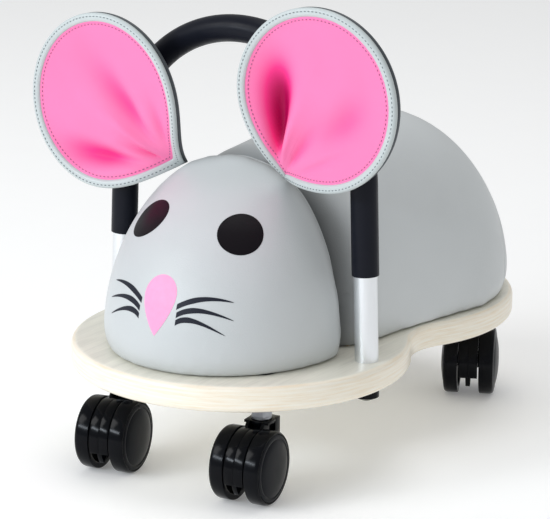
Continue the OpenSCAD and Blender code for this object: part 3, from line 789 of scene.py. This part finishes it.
class RIDEON_OT_casters(bpy.types.Operator):
    """Build the four twin-wheel casters"""

    bl_idname = "rideon.casters"
    bl_label = "Casters"

    def execute(self, context):
        hardware = context.scene.ride_on.hardware
        plastic = gloss_plastic("caster_black", hardware.caster)
        tread = gloss_plastic("wheel_black", shade(hardware.caster, 1.2), 0.12, 0.24)
        disc = gloss_plastic("disc_black", shade(hardware.caster, 2.2), 0.26, 0.38)
        zinc = zinc_plate("caster_zinc", hardware.zinc)
        for corner in CORNERS:
            stem = Vector(JOINTS[corner + "_swivel"]["pos_m"])
            roll = JOINTS[corner + "_roll_a"]
            axle, side = Vector(roll["pos_m"]), Vector(roll["axis"]).normalized()
            turn = Matrix((side, Vector((0, 0, 1)).cross(side), (0, 0, 1))).transposed().to_4x4()
            dress(corner + "_stem", zinc)
            dress(corner + "_locknut", zinc)
            dress(corner + "_axle", zinc)
            self.housing(corner, stem, axle, turn, plastic)
            for which, sign in (("a", 1), ("b", -1)):
                self.wheel(corner, which, sign, axle, turn, tread, disc, hardware.tread_round)
        return {"FINISHED"}

    def wheel(self, corner, which, sign, axle, turn, tread, disc, edge):
        """One wheel with its domed outer disc; the lathe's axis is laid along the axle."""
        out = Matrix.Translation(axle) @ turn @ Matrix.Rotation(sign * math.pi / 2, 4, "Y")
        bm = bmesh.new()
        profile = [
            (BORE, WHEEL_INNER + 0.5), (6.5, WHEEL_INNER + 0.5), (6.5, WHEEL_WEB), (WHEEL_PAN, WHEEL_WEB),
            (WHEEL_PAN, WHEEL_INNER), (WHEEL_RADIUS, WHEEL_INNER), (WHEEL_RADIUS, 15.6), (24.6, 17.0),
            (23.7, WHEEL_OUTER), (LIP_RADIUS, WHEEL_OUTER), (LIP_RADIUS, 16.9), (BORE, 16.9),
        ]
        lathe(bm, in_metres(profile), out, 96)
        bmesh.ops.recalc_face_normals(bm, faces=bm.faces[:])
        round_edges(bm, bm.verts, edge * 0.5, 3, 50)
        made = piece_from(bm, f"{corner}_tread_{which}", tread, f"{corner}_roller_{which}")
        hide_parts(f"{corner}_wheel_{which}")
        bm = bmesh.new()
        profile = [
            (0.0, WHEEL_OUTER - 0.3), (18.0, WHEEL_OUTER - 0.3), (18.0, DISC_SEAT), (DISC_RADIUS, DISC_SEAT),
            (DISC_RADIUS, 17.9), (21.4, 18.5), (20.2, 18.65), (19.6, 18.35), (19.0, 18.75), (15.0, 19.8),
            (10.0, 20.6), (5.0, 20.95), (0.0, 21.0),
        ]
        lathe(bm, in_metres(profile), out, 96, closed=False)
        made = piece_from(bm, f"{corner}_disc_{which}", disc, f"{corner}_roller_{which}", 55)
        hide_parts(f"{corner}_cap_{which}")

    def housing(self, corner, stem, axle, turn, plastic):
        """The hood between the wheels, its web and hub, and the wedge that rises to the stem."""
        across = Matrix.Translation(axle) @ turn @ Matrix.Rotation(math.pi / 2, 4, "Y")
        bm = bmesh.new()
        groove = HOOD_OUTER - 0.3
        hood = [
            (HOOD_INNER, -HOOD_HALF), (HOOD_OUTER, -HOOD_HALF), (HOOD_OUTER, -HOOD_PARTING), (groove, -0.1),
            (groove, 0.1), (HOOD_OUTER, HOOD_PARTING), (HOOD_OUTER, HOOD_HALF), (HOOD_INNER, HOOD_HALF),
        ]
        self.sector(bm, hood, across, 88.0, 288.0)
        rim = HOOD_OUTER - 0.6
        web = [(5.0, -WEB_HALF), (rim, -WEB_HALF), (rim, WEB_HALF), (5.0, WEB_HALF)]
        self.sector(bm, web, across, 60.0, 310.0)
        hub = [(BORE, -HOOD_HALF), (6.0, -HOOD_HALF), (6.0, HOOD_HALF), (BORE, HOOD_HALF)]
        lathe(bm, in_metres(hub), across, 48)
        upright = Matrix.Translation((stem.x, stem.y, 0)) @ turn
        boss = [
            (STEM_BORE, BOSS_FOOT), (BOSS_RADIUS, BOSS_FOOT), (BOSS_RADIUS, BOSS_TOP - 3.0),
            (COLLAR_RADIUS, BOSS_TOP - 2.6), (COLLAR_RADIUS, BOSS_TOP), (STEM_BORE, BOSS_TOP),
        ]
        lathe(bm, in_metres(boss), upright, 48)
        self.wedge(bm, upright)
        bmesh.ops.recalc_face_normals(bm, faces=bm.faces[:])
        round_edges(bm, bm.verts, 0.0004, 2, 50)
        made = piece_from(bm, f"{corner}_hood", plastic, f"{corner}_caster")
        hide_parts(f"{corner}_housing")

    def sector(self, bm, profile, across, low, high):
        """Part of a ring about the axle, between two angles."""
        start = across @ Matrix.Rotation(math.radians(low), 4, "Z")
        lathe(bm, in_metres(profile), start, 64, math.radians(high - low))

    def wedge(self, bm, upright):
        """The block behind the boss, its flat top, and the cheeks that slope down to the hood."""
        top = BOSS_TOP - 0.1
        rear, lid, slope = (2.6, WEDGE_BACK), (-8.5, 2.6), (-20.0, 2.6)
        for sign in (-1, 1):
            cheek = (sign * CHEEK_INNER, sign * CHEEK_OUTER)
            narrow = (sign * CHEEK_INNER, sign * BOSS_RADIUS)
            self.block(bm, upright, cheek, rear, rear, 39.0, top)
            self.block(bm, upright, cheek, lid, lid, 50.6, top)
            self.block(bm, upright, narrow, slope, lid, 40.0, BOSS_TOP - 0.2)
        back = (4.4, WEDGE_BACK)
        self.block(bm, upright, (-CHEEK_INNER, CHEEK_INNER), back, back, 39.0, top)

    def block(self, bm, upright, across, foot, head, low, high):
        """A block whose top may be shorter than its foot."""
        made = bmesh.ops.create_cube(bm, size=1.0)["verts"]
        for v in made:
            along_y = head if v.co.z > 0 else foot
            v.co = Vector((
                across[1] if v.co.x > 0 else across[0], along_y[1] if v.co.y > 0 else along_y[0],
                high if v.co.z > 0 else low,
            )) * MM
        bmesh.ops.transform(bm, matrix=upright, verts=made)


# ---------------------------------------------------------------- head and face

# Each whisker's inner end, crest and tip, as distance from the middle plane and height.
WHISKERS = (
    ((0.0140, 0.1312), (0.0300, 0.1372), (0.0476, 0.1355)),
    ((0.0146, 0.1260), (0.0295, 0.1300), (0.0495, 0.1240)),
    ((0.0146, 0.1211), (0.0270, 0.1232), (0.0460, 0.1144)),
)
# The share of a whisker's length at which it starts to thin, and how much of its width it loses.
WHISKER_THINS = 0.35
WHISKER_LOSS = 0.8
# A printed film: how far it stands off the cover, and how thick it is.
FILM_OFF = 0.00018
FILM_THICK = 0.00012
# A place ahead of the head, from which the face is laid on it.
AHEAD_Y = POST_Y - 0.2


class RIDEON_OT_head(bpy.types.Operator):
    """Build the padded head, its sewn back edge and its printed face"""

    bl_idname = "rideon.head"
    bl_label = "Head"

    def execute(self, context):
        covers = context.scene.ride_on.covers
        mesh = padded_cover("head_foam", "padded_head", covers.head_grow, covers, rounds=6)
        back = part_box("head_cover")[1].y
        # Painted shade: the head cover darkens towards its back edge, where the neck's shadow falls.
        paint_neck_shade(mesh, back, reach=0.017, strength=0.85)
        grey = leatherette("head_leatherette", covers.head_grey)
        head = piece_of_mesh(mesh, "padded_head", grey, sharp=60)
        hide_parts("head_cover", "head_foam")
        line = section_line(mesh, back - 0.002, BOARD_TOP + FOOT_SEWN, covers.piping_out)
        cord = leatherette("piping_leatherette", shade(covers.head_grey, 1.05), 0.36, 1500.0)
        piping(line, covers.piping, "head_piping", cord, "head_welt")
        self.face(mesh, context.scene.ride_on.face)
        return {"FINISHED"}

    def face(self, mesh, face):
        tree = BVHTree.FromPolygons([v.co for v in mesh.vertices], [p.vertices for p in mesh.polygons])
        black = print_ink("eye_ink", face.eye_ink, 0.30)
        dark = print_ink("whisker_ink", face.whisker_ink, 0.42)
        pink = print_ink("nose_ink", face.nose_ink, 0.38)
        for side, sign in (("left", 1), ("right", -1)):
            self.eye(tree, f"eye_{side}", sign, face, black)
            for index, whisker in enumerate(WHISKERS):
                self.whisker(tree, f"whisker_{side}_{index + 1}", sign, whisker, face.whisker_half, dark)
        self.nose(tree, face, pink)

    def film(self, tree, name, grid, material, place, direction):
        """A printed film: a grid of points laid on the head along a direction."""
        bm = bmesh.new()
        bmesh.ops.create_grid(bm, x_segments=grid[0], y_segments=grid[1], size=1.0)
        for vertex in bm.verts:
            hit, normal = on_surface(tree, place(vertex.co.x, vertex.co.y), direction)
            vertex.co = hit + normal * FILM_OFF
        bmesh.ops.remove_doubles(bm, verts=bm.verts[:], dist=1e-6)
        bm.normal_update()
        faces = bm.faces[:]
        if faces[len(faces) // 2].normal.dot(Vector(direction)) > 0:
            bmesh.ops.reverse_faces(bm, faces=faces)
        bmesh.ops.solidify(bm, geom=bm.faces[:], thickness=FILM_THICK)
        piece_from(bm, name, material, sharp=70)

    def eye(self, tree, name, sign, face, material):
        """An oval, drawn in the plane that touches the head at its middle."""
        middle, normal = on_surface(tree, (sign * face.eye_x, AHEAD_Y, face.eye_z), (0, 1, 0))
        across = Vector((0, 0, 1)).cross(normal).normalized()
        upward = normal.cross(across).normalized()

        def place(u, v):
            x = u * math.sqrt(1 - v * v / 2) * face.eye_half_width
            y = v * math.sqrt(1 - u * u / 2) * face.eye_half_height
            return middle + normal * 0.03 + across * x + upward * y

        self.film(tree, name, (28, 28), material, place, -normal)

    def nose(self, tree, face, material):
        """A drop with a round top and its point below."""
        wide = face.nose_half_width
        round_z = face.nose_top - wide

        def place(u, v):
            z = face.nose_tip + (face.nose_top - face.nose_tip) * (0.5 + 0.5 * math.sin(v * math.pi / 2))
            if z > round_z:
                half = math.sqrt(max(0.0, wide**2 - (z - round_z) ** 2))
            else:
                half = wide * (1 - ((round_z - z) / (round_z - face.nose_tip)) ** 1.7)
            return u * half, AHEAD_Y, z

        self.film(tree, "nose", (16, 48), material, place, (0, 1, 0))

    def whisker(self, tree, name, sign, whisker, widest, material):
        """A crescent that is cut off upright beside the nose and thins out to its tip."""
        inner, crest, tip = (Vector(p) for p in whisker)

        def place(u, v):
            t = 0.5 + 0.5 * u
            control = 2 * crest - (inner + tip) / 2
            line = inner * (1 - t) ** 2 + control * (2 * t * (1 - t)) + tip * t * t
            thinned = max(0.0, t - WHISKER_THINS) / (1 - WHISKER_THINS)
            half = widest * (1 - WHISKER_LOSS * thinned) * math.sqrt(max(0.0, 1 - t**14))
            return sign * line.x, AHEAD_Y, line.y + v * half

        self.film(tree, name, (40, 4), material, place, (0, 1, 0))


# ---------------------------------------------------------------- body

# Stitches of the rear seam: their pitch, length, width and how far they stand out.
SEAM_PITCH = 0.0034
SEAM_STITCH = 0.0022
SEAM_THICK = 0.0007
SEAM_PROUD = 0.0004


class RIDEON_OT_body(bpy.types.Operator):
    """Build the padded body with its rear seam and its sewn front edge"""

    bl_idname = "rideon.body"
    bl_label = "Body"

    def execute(self, context):
        covers = context.scene.ride_on.covers
        mesh = padded_cover("body_foam", "padded_body", covers.body_grow, covers, rounds=8)
        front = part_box("body_cover")[0].y
        self.tuck(mesh, front, covers)
        foot = BOARD_TOP + FOOT_SEWN
        point = Vector((0, POST_Y + covers.seam_back, BOARD_TOP))
        normal = Vector((0, math.cos(covers.seam_lean), -math.sin(covers.seam_lean)))
        places = sew(mesh, point, normal, covers.seam_half, covers.seam_depth, lambda co: co.z > foot)
        # Painted shade: the body cover darkens towards its front edge, in the shadow of the head.
        paint_neck_shade(mesh, front, reach=0.036, strength=1.0)
        grey = leatherette("body_leatherette", covers.body_grey, 0.45)
        body = piece_of_mesh(mesh, "padded_body", grey, sharp=60)
        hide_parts("body_cover", "body_foam")
        line = section_line(mesh, front + 0.003, foot, 0.0)
        cord = leatherette("body_piping_leatherette", shade(covers.body_grey, 1.02), 0.40, 1500.0)
        piping(line, covers.piping, "body_piping", cord, "body_welt")
        self.seam_stitches(places, covers)
        return {"FINISHED"}

    def tuck(self, mesh, front, covers):
        """Draws the front edge in behind the head, where the cover is pulled tight round the foam."""
        for vertex in mesh.vertices:
            loose = max(0.0, 1 - max(0.0, vertex.co.y - front) / covers.tuck_length)
            keep = 1 - covers.tuck * loose * loose
            vertex.co.x *= keep
            vertex.co.z = BOARD_TOP + (vertex.co.z - BOARD_TOP) * keep

    def seam_stitches(self, places, covers):
        """Stitches that show in the rear seam, from one foot over the back to the other."""
        foot = Vector((0, BOARD_TOP))
        outer = {}
        for place, out in places:
            step = round(math.degrees(math.atan2(place.z - BOARD_TOP, -place.x)) / 2)
            spot = place + out * SEAM_PROUD
            away = (spot.xz - foot).length
            if step not in outer or away > outer[step][0]:
                outer[step] = (away, spot)
        path = [outer[step][1] for step in sorted(outer)]
        bm = stitch_row(path, SEAM_PITCH, SEAM_STITCH, SEAM_THICK)
        piece_from(bm, "seam_stitches", thread("seam_thread", covers.stitch))


# ---------------------------------------------------------------- ears

# Folds of each ear: the direction from the root and its spread in degrees, the depth, and where
# along the way from the root it starts, is deepest and ends, in metres.
LEFT_FOLDS = (
    (84.0, 9.5, 0.0180, 0.002, 0.034, 0.112),
    (104.0, 22.0, 0.0035, 0.010, 0.070, 0.135),
    (50.0, 7.0, 0.0045, 0.006, 0.028, 0.080),
    (67.0, 5.0, -0.0030, 0.006, 0.030, 0.085),
    (27.0, 2.6, 0.0022, 0.006, 0.035, 0.085),
    (40.0, 8.0, 0.0040, 0.040, 0.080, 0.125),
)
RIGHT_FOLDS = (
    (3.0, 9.0, 0.0085, 0.006, 0.050, 0.122),
    (22.0, 6.0, 0.0060, 0.003, 0.016, 0.045),
    (52.0, 9.0, 0.0055, 0.010, 0.050, 0.115),
    (35.0, 6.0, -0.0025, 0.010, 0.040, 0.090),
    (80.0, 7.0, 0.0040, 0.006, 0.026, 0.060),
)
# The depth of fold at which the painted fold shade is at its darkest.
FULL_SHADE_DEPTH = 0.0135
# The panel's front skin and its thickness, and the length and width of the ears' stitches.
PANEL_FRONT = -0.0030
PANEL_SKIN = 0.0014
STITCH_LENGTH = 0.0017
STITCH_THICK = 0.0008


class Ear:
    """The shape of one ear: a flat disc, drawn to its root, dished and folded."""

    # The root's place from the handle, the spread in degrees of the rim's pull towards it, the reach
    # of the tuck at the root, and the depth of the dish.
    ROOT = Vector((0.042, -0.006, 0.202))
    PULL = 26.0
    TUCK = 0.025
    DISH = 0.005

    def __init__(self, side, ears):
        if side == "left":
            self.sign, self.folds = 1, LEFT_FOLDS
            self.half_w, self.middle = ears.left_half_width, Vector((ears.left_x, ears.left_z))
        else:
            self.sign, self.folds = -1, RIGHT_FOLDS
            self.half_w, self.middle = ears.right_half_width, Vector((ears.right_x, ears.right_z))
        self.half_h = ears.half_height
        self.forward = ears.forward
        self.rim_share = 1 - ears.rim / ears.half_height

    def fold(self, x, z, share):
        """How deep the folds are at a point of the ear's plane."""
        dx, dz = x - self.ROOT.x, z - self.ROOT.z
        way, angle = math.hypot(dx, dz), math.degrees(math.atan2(dz, dx))
        edge = 1 - min(1.0, share / self.rim_share) ** 6
        depth = 0.0
        for direction, spread, deep, start, peak, end in self.folds:
            if way <= start or way >= end:
                continue
            t = (way - start) / (peak - start) if way < peak else (end - way) / (end - peak)
            ease = t * t * (3 - 2 * t)
            wide = spread * (0.6 + 0.4 * min(1.0, way / 0.05))
            depth += deep * ease * math.exp(-(((angle - direction) / wide) ** 2))
        return depth * edge

    def flat(self, co):
        """Where a point of the unit disc lies in the ear's plane, before it is dished and folded."""
        turn = math.atan2(co.z, co.x)
        root = self.ROOT.xz
        to_root = root - self.middle
        off = abs((math.degrees(turn - math.atan2(to_root.y, to_root.x)) + 540) % 360 - 180)
        pull = math.exp(-((off / self.PULL) ** 2))
        reach = Vector((self.half_w * math.cos(turn), self.half_h * math.sin(turn)))
        rim = (self.middle + reach) * (1 - pull) + root * pull
        return self.middle.lerp(rim, math.hypot(co.x, co.z))

    def place(self, co):
        """Where a point of the unit disc goes; its y is the depth in metres."""
        spot = self.flat(co)
        near = (spot - self.ROOT.xz).length
        inner = min(math.hypot(co.x, co.z), 1.0)
        y = -self.forward + (self.forward + self.ROOT.y) * math.exp(-near / self.TUCK)
        y += self.DISH * (1 - inner * inner) + self.fold(spot.x, spot.y, inner)
        ripple = noise.noise(Vector((spot.x * 45, spot.y * 45, 3.0 * self.sign))) * 0.0008 * (1 - inner**4)
        return Vector((self.sign * spot.x, POST_Y + y + ripple + co.y, spot.y))

    def disc(self, profile, steps=180):
        """Spins a profile of (share, depth) into a disc or a band, and gives it the ear's shape."""
        bm = bmesh.new()
        to_ear = Matrix.Rotation(-math.pi / 2, 4, "X")
        lathe(bm, profile, to_ear, steps, closed=profile[0][0] > 0)
        # Each point is marked with how much painted shade its fold depth gets.
        fold_shade = bm.verts.layers.float.new("fold")
        for vertex in bm.verts:
            spot = self.flat(vertex.co)
            depth = self.fold(spot.x, spot.y, math.hypot(vertex.co.x, vertex.co.z))
            deep = min(1.0, max(0.0, depth / FULL_SHADE_DEPTH))
            vertex[fold_shade] = deep * deep * (3 - 2 * deep)
            vertex.co = self.place(vertex.co)
        return bm

    def ring(self, share, depth, steps=720):
        """A closed line of points round the ear."""
        turns = (2 * math.pi * k / steps for k in range(steps))
        return [self.place(Vector((share * math.cos(t), depth, share * math.sin(t)))) for t in turns]


def along(low, high, count):
    """Evenly spaced numbers from low to high."""
    return [low + (high - low) * k / (count - 1) for k in range(count)]


class RIDEON_OT_ears(bpy.types.Operator):
    """Build the two folded ears with their pink panels, stitched rims and dark backs"""

    bl_idname = "rideon.ears"
    bl_label = "Ears"

    def execute(self, context):
        ears = context.scene.ride_on.ears
        pink = pink_panel("pink_satin", ears.pink, ears.slope, ears.fold)
        trim = leatherette("rim_leatherette", ears.trim, 0.40, 1500.0)
        backing = leatherette("backing_leatherette", ears.backing, 0.48, 1300.0)
        grey_thread = thread("grey_thread", ears.rim_thread)
        rose_thread = thread("rose_thread", ears.panel_thread)
        for side in ("left", "right"):
            ear = Ear(side, ears)
            share = ear.rim_share
            shares = along(0.0, share + 0.004, 46)
            panel = [(r, PANEL_FRONT) for r in shares]
            panel += [(r, PANEL_FRONT + PANEL_SKIN) for r in reversed(shares)]
            made = piece_from(ear.disc(panel), f"ear_{side}_panel", pink, sharp=80)
            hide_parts(f"ear_{side}_front", f"ear_{side}_pad")
            stitched = share + 0.055
            band = [
                (share - 0.006, -0.0026), (share, -0.0036), (share + 0.02, -0.0042), (share + 0.045, -0.0042),
                (stitched, -0.0040), (share + 0.065, -0.0042), (0.975, -0.0040), (0.992, -0.0033),
                (1.0, -0.0020), (0.998, -0.0008), (0.985, 0.0), (share - 0.006, 0.0),
            ]
            made = piece_from(ear.disc(band), f"ear_{side}_binding", trim, sharp=80)
            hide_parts(f"ear_{side}_rim")
            back = [(r, 0.0004) for r in along(0.0, 0.975, 30)]
            back += [(0.992, 0.0012), (0.996, 0.0024), (0.990, 0.0036), (0.970, 0.0043)]
            back += [(r, 0.0045 + 0.001 * (1 - r)) for r in along(0.94, 0.0, 30)]
            made = piece_from(ear.disc(back), f"ear_{side}_backing", backing, sharp=80)
            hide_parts(f"ear_{side}_back")
            rows = (
                ("rim", stitched, -0.0041, grey_thread, "ear_trim"),
                ("panel", share - 0.035, PANEL_FRONT - 0.0001, rose_thread, "pink_satin"),
            )
            for row, where, depth, material, slot in rows:
                line = ear.ring(where, depth)
                bm = stitch_row(line, ears.stitch_pitch, STITCH_LENGTH, STITCH_THICK, closed=True)
                piece_from(bm, f"ear_{side}_{row}_stitches", material)
        return {"FINISHED"}


# ---------------------------------------------------------------- stage

# Each softbox: its name, place, width and height, power in watts and tint.
SOFTBOXES = (
    ("key_light", (-1.3, -1.7, 1.7), (1.0, 1.0), 15.0, (1.0, 1.0, 1.0)),
    ("front_light", (-0.75, -2.3, 1.02), (1.5, 0.20), 26.0, (0.84, 0.92, 1.0)),
    ("top_light", (0.0, 0.3, 2.3), (1.4, 1.4), 12.0, (1.0, 1.0, 1.0)),
)
# The place that the softboxes are turned to.
LIT_PLACE = Vector((0, -0.02, 0.15))


class RIDEON_OT_stage(bpy.types.Operator):
    """Set up the camera, the pale floor and the soft light"""

    bl_idname = "rideon.stage"
    bl_label = "Stage"

    def execute(self, context):
        stage = context.scene.ride_on.stage
        self.camera(context.scene, stage)
        self.floor(stage)
        self.lights(context.scene, stage)
        context.scene.view_settings.view_transform = "Standard"
        return {"FINISHED"}

    def camera(self, scene, stage):
        data = bpy.data.cameras.new("camera")
        data.sensor_fit = "HORIZONTAL"
        data.sensor_width = 36.0
        data.lens = stage.lens
        data.clip_start, data.clip_end = 0.01, 50.0
        camera = bpy.data.objects.new("camera", data)
        a, e, r = stage.azimuth, stage.elevation, stage.roll
        back = Vector((math.sin(a) * math.cos(e), -math.cos(a) * math.cos(e), math.sin(e)))
        level = Vector((math.cos(a), math.sin(a), 0))
        above = back.cross(level)
        right = level * math.cos(r) + above * math.sin(r)
        up = above * math.cos(r) - level * math.sin(r)
        facing = Matrix((right, up, back)).transposed().to_4x4()
        camera.matrix_world = Matrix.Translation(stage.camera) @ facing
        scene.collection.objects.link(camera)
        scene.camera = camera

    def floor(self, stage):
        bm = bmesh.new()
        bmesh.ops.create_grid(bm, x_segments=1, y_segments=1, size=stage.floor_size / 2)
        mesh = bpy.data.meshes.new("floor")
        bm.to_mesh(mesh)
        bm.free()
        white = (1.0, 1.0, 1.0, 1.0)
        paper = (0.93, 0.925, 0.915)
        made = Finish("floor_paper", paper, 0.85, Emission_Color=white, Emission_Strength=0.16)
        made.polish(made.noise(30.0, 3.0), 0.8, 0.95)
        mesh.materials.append(made.material)
        floor = bpy.data.objects.new("floor", mesh)
        bpy.context.scene.collection.objects.link(floor)

    def lights(self, scene, stage):
        world = bpy.data.worlds.new("studio")
        world.use_nodes = True
        sky = world.node_tree.nodes["Background"]
        sky.inputs["Color"].default_value = (0.97, 0.985, 1.0, 1.0)
        sky.inputs["Strength"].default_value = stage.sky
        scene.world = world
        for softbox in SOFTBOXES:
            self.softbox(*softbox)

    def softbox(self, name, place, size, power, tint):
        data = bpy.data.lights.new(name, "AREA")
        data.shape = "RECTANGLE"
        data.size, data.size_y = size
        data.energy = power
        data.color = tint
        light = bpy.data.objects.new(name, data)
        light.location = place
        light.rotation_mode = "QUATERNION"
        light.rotation_quaternion = (LIT_PLACE - Vector(place)).to_track_quat("-Z", "Y")
        bpy.context.scene.collection.objects.link(light)


class RIDEON_PT_panel(bpy.types.Panel):
    """Lists the steps that build the ride-on mouse"""

    bl_label = "Ride-on Mouse"
    bl_idname = "RIDEON_PT_panel"
    bl_space_type = "VIEW_3D"
    bl_region_type = "UI"
    bl_category = "Ride-on"

    def draw(self, context):
        for operator in OPERATORS:
            self.layout.operator(operator.bl_idname)


SETTINGS = (
    BoardSettings, CoverSettings, FaceSettings, EarSettings, HardwareSettings, StageSettings, RideOnSettings,
)
OPERATORS = (
    RIDEON_OT_stage, RIDEON_OT_board, RIDEON_OT_handle, RIDEON_OT_casters, RIDEON_OT_head,
    RIDEON_OT_body, RIDEON_OT_ears,
)


def register():
    for cls in (*SETTINGS, *OPERATORS, RIDEON_PT_panel):
        bpy.utils.register_class(cls)
    bpy.types.Scene.ride_on = PointerProperty(type=RideOnSettings)


def unregister():
    del bpy.types.Scene.ride_on
    for cls in reversed((*SETTINGS, *OPERATORS, RIDEON_PT_panel)):
        bpy.utils.unregister_class(cls)


def main():
    register()
    bpy.ops.rideon.stage()
    bpy.ops.rideon.board()
    bpy.ops.rideon.handle()
    bpy.ops.rideon.casters()
    bpy.ops.rideon.head()
    bpy.ops.rideon.body()
    bpy.ops.rideon.ears()


if __name__ == "__main__":
    main()
